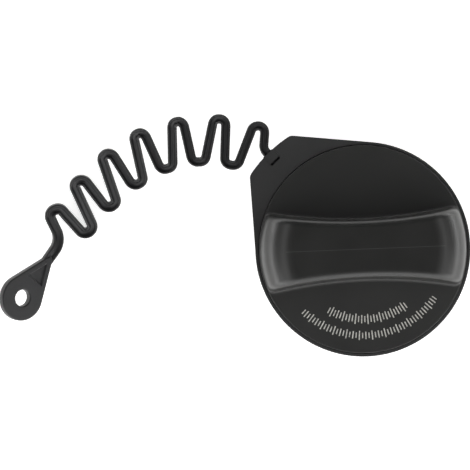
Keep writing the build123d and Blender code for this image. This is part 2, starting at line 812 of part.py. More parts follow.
with BuildPart() as vacuum_poppet:
    with BuildSketch(Plane.XZ):
        with BuildLine():
            Polyline(
                (0, vacuum_seal_bottom - poppet_thickness),
                (poppet_radius, vacuum_seal_bottom - poppet_thickness),
                (poppet_radius, vacuum_seal_bottom),
                (stem_radius, vacuum_seal_bottom),
                (stem_radius, clip_bottom - seal_gap),
                (stem_radius - stem_groove_depth, clip_bottom - seal_gap),
                (stem_radius - stem_groove_depth, clip_bottom + clip_thickness + seal_gap),
                (stem_radius, clip_bottom + clip_thickness + seal_gap),
                (stem_radius - stem_groove_depth, stem_top),
                (0, stem_top),
                close=True,
            )
        make_face()
    revolve(axis=Axis.Z)
vacuum_poppet.part.label = "vacuum_poppet"
export_step(vacuum_poppet.part, "parts/vacuum_poppet.step")

with BuildPart() as vacuum_stem_clip:
    with BuildSketch(Plane.XY.offset(clip_bottom)):
        Circle(clip_radius)
        Circle(stem_radius - stem_groove_depth + seal_gap, mode=Mode.SUBTRACT)
    extrude(amount=clip_thickness)
vacuum_stem_clip.part.label = "vacuum_stem_clip"
export_step(vacuum_stem_clip.part, "parts/vacuum_stem_clip.step")

vacuum_spring = coil_spring(plate_top, clip_bottom, vacuum_coil_radius, vacuum_wire_radius, vacuum_coils)
vacuum_spring.label = "vacuum_spring"
export_step(vacuum_spring, "parts/vacuum_spring.step")

# ---- Tether strap -------------------------------------------------------------------
# The strap leaves the tab level, droops to its neck near the floor and twists as it goes, so its
# outer row of bends rises above its middle line and its inner row falls below it. Its grooved top
# leans over with the twist. Past the neck it rises again to the eyelet.
up = Vector(0, 0, 1)
neck_z = strap_height / 2 + neck_floor_gap
neck_to_eyelet = Vector(*eyelet_place) - Vector(*neck_corner)
eyelet_z = neck_z + neck_to_eyelet.length * math.tan(math.radians(eyelet_pitch))
root = Vector(*polar(tab_radius, tab_middle_angle), strap_z)
outward = Vector(*polar(1, tab_middle_angle), 0)
plan_root = Vector(root.X, root.Y)
plan = [plan_root] + [plan_root + Vector(*bend) for bend in strap_bends + [neck_corner]]
middles = [plan[0]]
for before, bend, after in zip(plan, plan[1:], plan[2:]):
    middles.append((bend + (before + after) / 2) / 2)
eyelet_center = plan_root + Vector(*eyelet_place)
middles.append(plan[-1])
runs = [0.0]
for start, end in zip(middles, middles[1:]):
    runs.append(runs[-1] + (end - start).length)

strap_points = []
strap_tops = []
for number, (place, middle, run, following) in enumerate(
    zip(plan, middles, runs, middles[1:] + [eyelet_center])
):
    share = run / runs[-1]
    twist = math.radians(eyelet_tilt * share)
    droop = (strap_z - neck_z) * share**2 * (3 - 2 * share)
    lean = (place - middle).length * math.tan(twist)
    side = 1 if number % 2 else -1
    heading = (following - middle).normalized()
    strap_points.append(place + up * (strap_z - droop + side * lean))
    strap_tops.append(up * math.cos(twist) + up.cross(heading) * math.sin(twist))

eyelet_middle = Vector(eyelet_center.X, eyelet_center.Y, eyelet_z)
eyelet_axis = (strap_points[-1] - eyelet_middle).normalized()
eyelet_level = up - eyelet_axis * up.dot(eyelet_axis)
eyelet_normal = eyelet_level.normalized().rotate(Axis((0, 0, 0), eyelet_axis), eyelet_tilt)
eyelet_plane = Plane(eyelet_middle, x_dir=eyelet_axis, z_dir=eyelet_normal)
strap_end = eyelet_middle + eyelet_axis * (eyelet_length - 2 * eyelet_neck_radius)

strap_corners = [root + outward * strap_root_gap, root + outward * (strap_root_gap + strap_root_length)]
corner_tops = [up, up]
corner_radii = [entry_bend_radius]
for before, bend, after, top in zip(strap_points, strap_points[1:], strap_points[2:], strap_tops[1:]):
    along = (after - before).normalized() * bend_radius
    strap_corners += [bend - along, bend + along]
    corner_tops += [top, top]
    corner_radii += [bend_radius, bend_radius]
strap_corners += [strap_points[-1], strap_end]
corner_tops += [strap_tops[-1], eyelet_normal]
corner_radii.append(neck_bend_radius)
guide_corners = [corner + top * strap_height for corner, top in zip(strap_corners, corner_tops)]

with BuildPart() as tether_strap:
    with BuildLine() as strap_path:
        FilletPolyline(*strap_corners, radius=corner_radii)
    with BuildLine() as strap_guide:
        FilletPolyline(*guide_corners, radius=corner_radii)
    with BuildSketch(Plane(strap_corners[0], x_dir=up.cross(outward), z_dir=outward)):
        with BuildLine():
            Polyline(
                (-strap_width / 2, -strap_height / 2),
                (strap_width / 2, -strap_height / 2),
                (strap_width / 2, strap_height / 2 - strap_bevel),
                (strap_width / 2 - strap_bevel, strap_height / 2),
                (strap_groove_half_width, strap_height / 2),
                (0, strap_height / 2 - strap_groove_depth),
                (-strap_groove_half_width, strap_height / 2),
                (strap_bevel - strap_width / 2, strap_height / 2),
                (-strap_width / 2, strap_height / 2 - strap_bevel),
                close=True,
            )
        make_face()
    sweep(path=strap_path.line, binormal=strap_guide.line)
    # Hooked root in the tab's socket
    with BuildSketch(tab_plane.offset(strap_z - tongue_height / 2)):
        with Locations((tab_radius + strap_root_gap, 0)):
            Rectangle(socket_depth - running_gap, tongue_width, align=(Align.MAX, Align.CENTER))
    extrude(amount=tongue_height)
    with BuildSketch(tab_plane.offset(strap_z)):
        with Locations((slot_radius, 0)):
            Rectangle(barb_depth, barb_width)
    extrude(amount=ring_top - strap_z - barb_setback)
    # Eyelet
    with BuildSketch(eyelet_plane):
        Circle(eyelet_radius)
        with Locations((eyelet_length, 0)):
            Circle(eyelet_neck_radius)
        make_hull()
    extrude(amount=eyelet_thickness / 2, both=True)
    with BuildSketch(eyelet_plane):
        Circle(eyelet_hole_radius)
    extrude(amount=eyelet_thickness, both=True, mode=Mode.SUBTRACT)
    with BuildSketch(eyelet_plane.offset(eyelet_thickness / 2 - eyelet_recess_depth)):
        with BuildLine():
            Polyline(
                (eyelet_recess_start, -eyelet_recess_half_width),
                (eyelet_recess_end, 0),
                (eyelet_recess_start, eyelet_recess_half_width),
                close=True,
            )
        make_face()
    extrude(amount=eyelet_thickness, mode=Mode.SUBTRACT)
tether_strap.part.label = "tether_strap"
export_step(tether_strap.part, "parts/tether_strap.step")
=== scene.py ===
"""Looks of a fuel filler cap: finishes, a moulded strap, printed marks and a plain studio.

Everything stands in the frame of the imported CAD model: metres, +Z up, the cap's axis on Z with
the plug's bottom rim at height 0, the grip bar along X and the tether's tab between -X and +Y.
"""

import logging
import math
from dataclasses import dataclass, field
from enum import Enum

import bpy
import numpy as np
from mathutils import Matrix, Vector


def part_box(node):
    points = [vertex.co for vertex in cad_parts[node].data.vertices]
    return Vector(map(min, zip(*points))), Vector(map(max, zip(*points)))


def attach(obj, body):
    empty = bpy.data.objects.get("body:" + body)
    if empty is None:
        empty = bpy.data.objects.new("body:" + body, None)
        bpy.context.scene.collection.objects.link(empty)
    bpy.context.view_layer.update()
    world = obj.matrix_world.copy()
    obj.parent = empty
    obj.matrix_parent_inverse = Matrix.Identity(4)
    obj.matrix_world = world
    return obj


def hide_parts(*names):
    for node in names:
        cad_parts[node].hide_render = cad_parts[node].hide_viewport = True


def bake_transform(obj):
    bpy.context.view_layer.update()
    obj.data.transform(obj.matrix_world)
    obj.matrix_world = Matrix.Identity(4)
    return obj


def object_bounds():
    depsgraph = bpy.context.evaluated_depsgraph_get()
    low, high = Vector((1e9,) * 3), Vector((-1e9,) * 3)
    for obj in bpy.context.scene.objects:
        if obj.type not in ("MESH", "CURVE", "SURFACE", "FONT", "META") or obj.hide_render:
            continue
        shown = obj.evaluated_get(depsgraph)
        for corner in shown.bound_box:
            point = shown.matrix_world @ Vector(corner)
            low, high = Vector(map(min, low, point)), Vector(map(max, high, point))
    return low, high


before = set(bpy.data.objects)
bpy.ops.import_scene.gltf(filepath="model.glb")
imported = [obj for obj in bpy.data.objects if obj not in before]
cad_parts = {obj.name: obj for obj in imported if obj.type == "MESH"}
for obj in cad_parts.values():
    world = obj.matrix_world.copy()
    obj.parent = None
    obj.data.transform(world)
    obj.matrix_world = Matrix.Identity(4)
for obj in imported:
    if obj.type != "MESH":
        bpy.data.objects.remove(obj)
CAD_LOW, CAD_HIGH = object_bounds()

MM = 0.001

logging.basicConfig(level=logging.INFO, format="%(name)s: %(message)s")
log = logging.getLogger("fuel_cap")


class Body(Enum):
    """Rigid bodies of the CAD model that pieces ride on."""

    PLUG = "plug"
    HANDLE = "handle"
    TETHER = "tether"
    PRESSURE_VALVE = "pressure_valve"
    VACUUM_VALVE = "vacuum_valve"


class Slot(Enum):
    """Material slots of the record."""

    COVER = "cover_plastic"
    STRAP = "strap_plastic"


# ---------------------------------------------------------------------------
# Finishes
# ---------------------------------------------------------------------------


def linear(hex_colour: str) -> tuple[float, float, float, float]:
    """Turn an sRGB hex colour into linear RGBA.

    Args:
        hex_colour: six hex digits with a leading hash.

    Returns:
        Linear red, green and blue with full alpha.
    """
    channels = [int(hex_colour[start : start + 2], 16) / 255 for start in (1, 3, 5)]
    red, green, blue = (c / 12.92 if c <= 0.04045 else ((c + 0.055) / 1.055) ** 2.4 for c in channels)
    return red, green, blue, 1.0


def add_node(
    tree: bpy.types.NodeTree,
    kind: str,
    settings: dict[str, object] | None = None,
    links: dict[str, bpy.types.NodeSocket] | None = None,
) -> bpy.types.Node:
    """Add a shader node with its settings and its incoming links.

    Args:
        tree: node tree that takes the node.
        kind: Blender's identifier of the node.
        settings: values by name, each an input socket's or else the node's own property.
        links: output sockets by the name of the input that they feed.

    Returns:
        The new node.
    """
    node = tree.nodes.new(kind)
    for name, value in (settings or {}).items():
        if name in node.inputs:
            node.inputs[name].default_value = value
        else:
            setattr(node, name, value)
    for name, source in (links or {}).items():
        tree.links.new(source, node.inputs[name])
    return node


def new_material(name: str) -> tuple[bpy.types.Material, bpy.types.NodeTree]:
    """Make an empty node material.

    Args:
        name: the finish's name.

    Returns:
        The material and its cleared node tree.
    """
    material = bpy.data.materials.new(name)
    material.use_nodes = True
    material.node_tree.nodes.clear()
    return material, material.node_tree


def grain(tree: bpy.types.NodeTree, pitch_mm: float, detail: float) -> bpy.types.NodeSocket:
    """Add a three-dimensional noise on Object coordinates.

    Args:
        tree: node tree that takes the noise.
        pitch_mm: distance from one grain to the next.
        detail: octaves of finer grain.

    Returns:
        The noise's value, from 0 to 1.
    """
    place = add_node(tree, "ShaderNodeTexCoord")
    noise = add_node(
        tree,
        "ShaderNodeTexNoise",
        {"Scale": 1 / (pitch_mm * MM), "Detail": detail, "Roughness": 0.55},
        {"Vector": place.outputs["Object"]},
    )
    return noise.outputs["Fac"]


@dataclass(frozen=True)
class MouldedPlastic:
    """Injection-moulded thermoplastic straight from a textured or polished tool.

    The tool's texture gives a fine even grain that softens reflections, and the flow of the
    melt gives broad patches a little duller or glossier than the rest.
    """

    name: str
    colour: str
    roughness: float
    texture_mm: float = 0.45
    texture_depth_mm: float = 0.004
    flow_mm: float = 14.0
    flow_spread: float = 0.04
    flow_low: float = 0.3
    flow_high: float = 0.7
    ior: float = 1.5

    def base_colour(self, tree: bpy.types.NodeTree) -> bpy.types.NodeSocket | None:
        """Add what varies the colour, if anything does."""
        return None

    def polish(self, tree: bpy.types.NodeTree) -> bpy.types.NodeSocket:
        """Add the roughness, spread by the flow of the melt."""
        roughness = add_node(
            tree,
            "ShaderNodeMapRange",
            {
                "From Min": self.flow_low,
                "From Max": self.flow_high,
                "To Min": self.roughness - self.flow_spread,
                "To Max": self.roughness + self.flow_spread,
            },
            {"Value": grain(tree, self.flow_mm, 2.0)},
        )
        return roughness.outputs["Result"]

    def material(self) -> bpy.types.Material:
        """Build the material."""
        material, tree = new_material(self.name)
        bump = add_node(
            tree,
            "ShaderNodeBump",
            {"Strength": 1.0, "Distance": self.texture_depth_mm * MM},
            {"Height": grain(tree, self.texture_mm, 1.0)},
        )
        links = {"Roughness": self.polish(tree), "Normal": bump.outputs["Normal"]}
        painted = self.base_colour(tree)
        if painted is not None:
            links["Base Color"] = painted
        shader = add_node(
            tree,
            "ShaderNodeBsdfPrincipled",
            {"Base Color": linear(self.colour), "IOR": self.ior},
            links,
        )
        add_node(tree, "ShaderNodeOutputMaterial", None, {"Surface": shader.outputs["BSDF"]})
        return material


@dataclass(frozen=True)
class GripPlastic(MouldedPlastic):
    """Moulded plastic of the cover, with a painted highlight on its parting line and a grip polished by
    hands.

    The line is where the two slides of the tool met, on the XZ plane: a hair-thin step, a little duller
    than the plastic round it.
    On the flat top it is painted paler, a painted highlight for the light that the step's edge catches.
    The disc keeps the tool's matt texture, and the grip gets smoother from its foot to its top.
    """

    matt_roughness: float = 0.5
    foot_mm: float = 44.5
    polished_mm: float = 52.0
    # Width, core and height of the parting line's painted highlight, and its pale painted colour
    line_half_width_mm: float = 0.14
    line_core: float = 0.4
    painted_highlight_above_mm: float = 58.6
    painted_highlight_colour: str = "#404040"

    def polish(self, tree: bpy.types.NodeTree) -> bpy.types.NodeSocket:
        """Add the roughness, matt on the disc and smooth on the grip."""
        place = add_node(tree, "ShaderNodeTexCoord")
        axes = add_node(tree, "ShaderNodeSeparateXYZ", None, {"Vector": place.outputs["Object"]})
        wear = add_node(
            tree,
            "ShaderNodeMapRange",
            {
                "From Min": self.foot_mm * MM,
                "From Max": self.polished_mm * MM,
                "To Min": self.matt_roughness - self.roughness,
                "To Max": 0.0,
            },
            {"Value": axes.outputs["Z"]},
        )
        both = add_node(tree, "ShaderNodeMath", {"operation": "ADD"}, {"Value": super().polish(tree)})
        tree.links.new(wear.outputs["Result"], both.inputs[1])
        return both.outputs["Value"]

    def base_colour(self, tree: bpy.types.NodeTree) -> bpy.types.NodeSocket:
        """Add the colour, with a pale painted highlight on the parting line."""
        place = add_node(tree, "ShaderNodeTexCoord")
        axes = add_node(tree, "ShaderNodeSeparateXYZ", None, {"Vector": place.outputs["Object"]})
        aside = add_node(tree, "ShaderNodeMath", {"operation": "ABSOLUTE"}, {"Value": axes.outputs["Y"]})
        line = add_node(
            tree,
            "ShaderNodeMapRange",
            {
                "From Min": self.line_half_width_mm * MM,
                "From Max": self.line_core * self.line_half_width_mm * MM,
                "To Min": 0.0,
                "To Max": 1.0,
            },
            {"Value": aside.outputs["Value"]},
        )
        top = add_node(
            tree,
            "ShaderNodeMath",
            {"operation": "GREATER_THAN"},
            {"Value": axes.outputs["Z"]},
        )
        top.inputs[1].default_value = self.painted_highlight_above_mm * MM
        seen = add_node(
            tree, "ShaderNodeMath", {"operation": "MULTIPLY"}, {"Value": line.outputs["Result"]}
        )
        tree.links.new(top.outputs["Value"], seen.inputs[1])
        # Painted highlight: the pale colour on the parting line stands in for light caught by the step's
        # edge, shown only on the flat top
        colour = add_node(tree, "ShaderNodeValToRGB", None, {"Fac": seen.outputs["Value"]})
        colour.color_ramp.elements[0].color = linear(self.colour)
        colour.color_ramp.elements[1].color = linear(self.painted_highlight_colour)
        return colour.outputs["Color"]


@dataclass(frozen=True)
class MouldedRubber:
    """Compression-moulded nitrile rubber: deep black, dull, with a faint bloom in the grain."""

    name: str
    colour: str
    roughness: float = 0.7
    texture_mm: float = 0.3
    texture_depth_mm: float = 0.01
    ior: float = 1.52

    def material(self) -> bpy.types.Material:
        """Build the material."""
        material, tree = new_material(self.name)
        bump = add_node(
            tree,
            "ShaderNodeBump",
            {"Strength": 1.0, "Distance": self.texture_depth_mm * MM},
            {"Height": grain(tree, self.texture_mm, 2.0)},
        )
        shader = add_node(
            tree,
            "ShaderNodeBsdfPrincipled",
            {"Base Color": linear(self.colour), "Roughness": self.roughness, "IOR": self.ior},
            {"Normal": bump.outputs["Normal"]},
        )
        add_node(tree, "ShaderNodeOutputMaterial", None, {"Surface": shader.outputs["BSDF"]})
        return material


@dataclass(frozen=True)
class DrawnSteel:
    """Stainless spring steel, drawn through a die or rolled: bright, with fine lengthwise marks."""

    name: str
    colour: str = "#b9b8b4"
    roughness: float = 0.28
    draw_mark_mm: float = 0.12
    draw_mark_depth_mm: float = 0.002

    def material(self) -> bpy.types.Material:
        """Build the material."""
        material, tree = new_material(self.name)
        bump = add_node(
            tree,
            "ShaderNodeBump",
            {"Strength": 1.0, "Distance": self.draw_mark_depth_mm * MM},
            {"Height": grain(tree, self.draw_mark_mm, 1.0)},
        )
        shader = add_node(
            tree,
            "ShaderNodeBsdfPrincipled",
            {"Base Color": linear(self.colour), "Metallic": 1.0, "Roughness": self.roughness},
            {"Normal": bump.outputs["Normal"]},
        )
        add_node(tree, "ShaderNodeOutputMaterial", None, {"Surface": shader.outputs["BSDF"]})
        return material


@dataclass(frozen=True)
class PadPrint:
    """Pad-printed ink: a thin flat film, matt and a little uneven where the pad lifted."""

    name: str
    colour: str
    thin_colour: str
    patch_mm: float = 0.9
    thin_at: float = 0.35
    full_at: float = 0.6
    roughness: float = 0.6

    def material(self) -> bpy.types.Material:
        """Build the material."""
        material, tree = new_material(self.name)
        cover = add_node(
            tree,
            "ShaderNodeMapRange",
            {"From Min": self.thin_at, "From Max": self.full_at, "To Min": 0.0, "To Max": 1.0},
            {"Value": grain(tree, self.patch_mm, 3.0)},
        )
        ink = add_node(tree, "ShaderNodeValToRGB", None, {"Fac": cover.outputs["Result"]})
        ink.color_ramp.elements[0].color = linear(self.thin_colour)
        ink.color_ramp.elements[1].color = linear(self.colour)
        shader = add_node(
            tree,
            "ShaderNodeBsdfPrincipled",
            {"Roughness": self.roughness},
            {"Base Color": ink.outputs["Color"]},
        )
        add_node(tree, "ShaderNodeOutputMaterial", None, {"Surface": shader.outputs["BSDF"]})
        return material


@dataclass(frozen=True)
class Acrylic:
    """Opal acrylic sheet lit from below: evenly white, with shadows almost washed out."""

    name: str
    colour: str
    glow: float
    roughness: float = 0.9
    specular: float = 0.1

    def material(self) -> bpy.types.Material:
        """Build the material."""
        material, tree = new_material(self.name)
        shader = add_node(
            tree,
            "ShaderNodeBsdfPrincipled",
            {
                "Base Color": linear(self.colour),
                "Roughness": self.roughness,
                "Specular IOR Level": self.specular,
                "Emission Color": linear(self.colour),
                "Emission Strength": self.glow,
            },
        )
        add_node(tree, "ShaderNodeOutputMaterial", None, {"Surface": shader.outputs["BSDF"]})
        return material


# The cover's finish carries the painted highlight on its parting line
COVER_NYLON = GripPlastic("satin black moulded nylon with a parting line", "#212120", 0.36)
RING_NYLON = MouldedPlastic("satin black moulded nylon", "#303030", 0.44)
PLUG_ACETAL = MouldedPlastic("smooth black moulded acetal", "#1a1a1a", 0.3, texture_depth_mm=0.001)
STRAP_ELASTOMER = MouldedPlastic(
    "black moulded polyester elastomer", "#242425", 0.36, texture_mm=0.3, ior=1.37
)
NATURAL_ACETAL = MouldedPlastic("natural moulded acetal", "#d9d5c6", 0.34, texture_depth_mm=0.001)
SLIP_POLYMER = MouldedPlastic("white pressed polyethylene washer", "#e4e3de", 0.4)
GASKET_RUBBER = MouldedRubber("black moulded nitrile rubber", "#101010")
VALVE_RUBBER = MouldedRubber("brown moulded fluorocarbon rubber", "#2b1b14", 0.6)
SPRING_STEEL = DrawnSteel("drawn stainless spring steel")
LIGHT_INK = PadPrint("light grey pad-printed ink", "#cfcec8", "#a5a49f")
LIGHT_TABLE = Acrylic("opal white acrylic of a light table", "#f6f6f5", 0.74)


# ---------------------------------------------------------------------------
# Meshes
# ---------------------------------------------------------------------------


# Sides of a box that has four corners below and four above, both counter-clockwise from above
BOX_SIDES = ((3, 2, 1, 0), (4, 5, 6, 7), (0, 1, 5, 4), (1, 2, 6, 5), (2, 3, 7, 6), (3, 0, 4, 7))

Shell = tuple[np.ndarray, list[list[int]]]


def mesh_object(
    name: str, points: np.ndarray, faces: list[list[int]], material: bpy.types.Material, smooth: bool
) -> bpy.types.Object:
    """Make an object at the origin from its points and faces.

    Args:
        name: the object's name.
        points: n x 3 places in metres.
        faces: each face's point numbers, counter-clockwise seen from outside.
        material: the object's only material.
        smooth: whether shading runs on over the edges.

    Returns:
        The linked object.
    """
    mesh = bpy.data.meshes.new(name)
    mesh.from_pydata(points.tolist(), [], faces)
    mesh.materials.append(material)
    mesh.polygons.foreach_set("use_smooth", np.full(len(mesh.polygons), smooth))
    mesh.update()
    made = bpy.data.objects.new(name, mesh)
    bpy.context.scene.collection.objects.link(made)
    return made


def tube(points: np.ndarray) -> Shell:
    """Skin rings of points and close both ends.

    Args:
        points: rings x sides x 3 places. Looking along the sweep, each ring runs counter-clockwise,
            so the faces look outward.

    Returns:
        Points, and quads with a flat cap at each end.
    """
    number = np.arange(points.shape[0] * points.shape[1]).reshape(points.shape[:2])
    after = np.roll(number, -1, axis=1)
    quads = np.stack([number[:-1], number[1:], after[1:], after[:-1]], axis=-1).reshape(-1, 4)
    caps = [number[0].tolist(), number[-1, ::-1].tolist()]
    return points.reshape(-1, 3), quads.tolist() + caps


def box_corners(low_x: float, high_x: float, half_y: float) -> np.ndarray:
    """Give a box's corners in the order that its sides are numbered in.

    Args:
        low_x: its lower end on X.
        high_x: its higher end on X.
        half_y: half its width on Y.

    Returns:
        8 x 3 corners with Z at 0 and 1.
    """
    square = ((low_x, -half_y), (high_x, -half_y), (high_x, half_y), (low_x, half_y))
    return np.array([(x, y, z) for z in (0, 1) for x, y in square], float)


def report(piece: bpy.types.Object, body: Body) -> None:
    """Log a finished piece.

    Args:
        piece: the piece.
        body: the body that it rides on.
    """
    log.info("%s rides on %s, %d faces", piece.name, body.value, len(piece.data.polygons))


def dress(node: str, material: bpy.types.Material) -> None:
    """Give a CAD node its finish.

    Args:
        node: the node's name.
        material: the finish.
    """
    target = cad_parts[node]
    target.data.materials.clear()
    target.data.materials.append(material)
    log.info("%s has %s", node, material.name)


# ---------------------------------------------------------------------------
# Sub-assemblies
# ---------------------------------------------------------------------------


@dataclass(frozen=True)
class ScaleArc:
    """Strokes of a printed scale on one arc: lengths in metres, angles in degrees."""

    radius: float
    length: float
    middle_angle: float
    half_angle: float
    count: int


@dataclass
class Cover:
    """Cover with its grip, the ring that retains it and the pawl ring inside.

    The printed marks are a plain scale: strokes on two arcs below the grip, long and short in turn.
    """

    face_z: float = 44.0 * MM
    ink_height: float = 0.03 * MM
    ink_root: float = 0.02 * MM
    stroke_width: float = 0.42 * MM
    stroke_shares: tuple[float, float, float] = (1.0, 0.8, 0.6)
    arcs: tuple[ScaleArc, ...] = (
        ScaleArc(26.7 * MM, 3.9 * MM, 271.6, 33.0, 27),
        ScaleArc(32.9 * MM, 3.5 * MM, 273.8, 49.5, 47),
    )

    def build(self) -> None:
        """Dress the nodes and add the printed marks."""
        plastic = COVER_NYLON.material()
        dress("handle_cover", plastic)
        dress("cover_retainer_ring", PLUG_ACETAL.material())
        dress("pawl_ring", NATURAL_ACETAL.material())
        marks = self.marks()
        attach(marks, Body.HANDLE.value)
        report(marks, Body.HANDLE)

    def strokes(self, arc: ScaleArc) -> np.ndarray:
        """Lay radial strokes on an arc.

        Stroke k is a box with its middle at the arc's radius and an angle spread evenly between
        the middle angle less and plus the half angle. Every fourth stroke has full length, the
        one halfway between four fifths and the others three fifths.

        Args:
            arc: radius, stroke length, middle angle, half angle and count.

        Returns:
            count x 8 x 3 corners.
        """
        number = np.arange(arc.count) - arc.count // 2
        turn = np.radians(arc.middle_angle + np.linspace(-arc.half_angle, arc.half_angle, arc.count))
        full, middling, short = self.stroke_shares
        length = np.where(number % 4 == 0, full, np.where(number % 4 == 2, middling, short)) * arc.length
        corner = box_corners(-1, 1, 1)
        along = arc.radius + corner[None, :, 0] * length[:, None] / 2
        across = np.broadcast_to(corner[:, 1] * self.stroke_width / 2, along.shape)
        low, high = self.face_z - self.ink_root, self.face_z + self.ink_height
        height = np.broadcast_to(np.where(corner[:, 2] > 0, high, low), along.shape)
        cosine, sine = np.cos(turn)[:, None], np.sin(turn)[:, None]
        x, y = along * cosine - across * sine, along * sine + across * cosine
        return np.stack([x, y, height], axis=-1)

    def marks(self) -> bpy.types.Object:
        """Make the strokes of both arcs one object of closed boxes."""
        boxes = np.concatenate([self.strokes(arc) for arc in self.arcs])
        faces = (np.arange(len(boxes))[:, None, None] * 8 + np.array(BOX_SIDES)[None]).reshape(-1, 4)
        ink = LIGHT_INK.material()
        return mesh_object("printed_turn_marks", boxes.reshape(-1, 3), faces.tolist(), ink, False)


@dataclass(frozen=True)
class Eyelet:
    """Flat plate at the strap's end, in millimetres: a circle drawn out to the strap's neck.

    Its hole takes a peg, and its top has a sunk triangle next to the neck.
    """

    middle: tuple[float, float, float] = (-134.2929, -13.7302, 13.5348)
    axis: tuple[float, float, float] = (0.564763, 0.771726, -0.292372)
    normal: tuple[float, float, float] = (0.584326, -0.123770, 0.802025)
    radius: float = 9.1
    neck_radius: float = 1.5
    length: float = 18.8
    hole_radius: float = 3.3
    thickness: float = 3.2
    edge_radius: float = 0.5
    recess_start: float = 8.6
    recess_tip: float = 17.0
    recess_half_width: float = 4.0
    recess_depth: float = 0.8
    recess_ease: float = 0.25
    top_slack: float = 0.01
    rim_points: int = 180
    edge_points: int = 5
    flat_points: int = 44

    def neck_place(self) -> np.ndarray:
        """Give the place in the plate where the strap ends."""
        return np.array(self.middle) + np.array(self.axis) * (self.length - 2 * self.neck_radius)

    def rim(self) -> tuple[np.ndarray, np.ndarray]:
        """Space points evenly round the hull of the plate's circle and its neck's circle.

        Returns:
            Places in the plate's plane and the outward directions there.
        """
        angle = np.linspace(0, 2 * np.pi, 4 * self.rim_points + 1)
        direction = np.stack([np.cos(angle), np.sin(angle)], axis=1)
        near_neck = direction[:, 0] > (self.radius - self.neck_radius) / self.length
        hull = direction * np.where(near_neck, self.neck_radius, self.radius)[:, None]
        hull[:, 0] += np.where(near_neck, self.length, 0.0)
        run = np.concatenate([[0.0], np.linalg.norm(np.diff(hull, axis=0), axis=1).cumsum()])
        even = np.linspace(0, run[-1], self.rim_points, endpoint=False)
        place = np.stack([np.interp(even, run, hull[:, axis]) for axis in (0, 1)], axis=1)
        facing = np.stack([np.interp(even, run, direction[:, axis]) for axis in (0, 1)], axis=1)
        return place, facing / np.linalg.norm(facing, axis=1, keepdims=True)

    def top_loops(self) -> tuple[np.ndarray, np.ndarray]:
        """Lay loops from the hole's wall over the flat top to the rim's wall.

        At angle a the hole's edge is at radius h + e (1 - cos a) and the rim's at its place less
        e (1 - sin a), for an edge radius e. Between them the loops are spread evenly.

        Returns:
            loops x points x 2 places in the plate's plane, and the loops' heights.
        """
        place, facing = self.rim()
        spoke = place / np.linalg.norm(place, axis=1, keepdims=True)
        half, edge = self.thickness / 2, self.edge_radius
        angle = np.linspace(0, np.pi / 2, self.edge_points)
        sine, cosine = np.sin(angle), np.cos(angle)
        hole = spoke[None] * (self.hole_radius + edge * (1 - cosine))[:, None, None]
        flat_from, flat_to = spoke * (self.hole_radius + edge), place - facing * edge
        share = np.linspace(0, 1, self.flat_points)[1:-1, None, None]
        flat = flat_from[None] + (flat_to - flat_from)[None] * share
        outside = place[None] - facing[None] * (edge * (1 - sine))[:, None, None]
        heights = [half - edge * (1 - sine), np.full(len(share), half), half - edge * (1 - cosine)]
        return np.concatenate([hole, flat, outside]), np.concatenate(heights)

    def sink(self, places: np.ndarray) -> np.ndarray:
        """Give the recess's depth, full inside its triangle and eased in along its sides.

        Args:
            places: places in the plate's plane.

        Returns:
            How deep the top is let in at each place.
        """
        slope = self.recess_half_width / (self.recess_tip - self.recess_start)
        from_side = (self.recess_tip - places[..., 0]) * slope - np.abs(places[..., 1])
        inside = np.minimum(places[..., 0] - self.recess_start, from_side / math.hypot(1, slope))
        ease = np.clip(inside / self.recess_ease, 0, 1)
        return self.recess_depth * ease * ease * (3 - 2 * ease)

    def mesh(self) -> Shell:
        """Wrap loops over the plate's top, down its rim, back below and up through its hole.

        Returns:
            Points, and quads that close the loops into a ring.
        """
        top, height = self.top_loops()
        places = np.concatenate([top, top[::-1]])
        heights = np.repeat(np.concatenate([height, -height[::-1]])[:, None], self.rim_points, axis=1)
        on_top = heights > self.thickness / 2 - self.top_slack
        heights = np.where(on_top, heights - self.sink(places), heights)
        axis, normal = np.array(self.axis), np.array(self.normal)
        across = np.cross(normal, axis)
        flat = places[..., :1] * axis + places[..., 1:] * across
        points = np.array(self.middle) + flat + heights[..., None] * normal
        number = np.arange(points.shape[0] * points.shape[1]).reshape(points.shape[:2])
        below, after = np.roll(number, -1, axis=0), np.roll(number, -1, axis=1)
        quads = np.stack([number, below, np.roll(below, -1, axis=1), after], axis=-1)
        return points.reshape(-1, 3), quads.reshape(-1, 4).tolist()


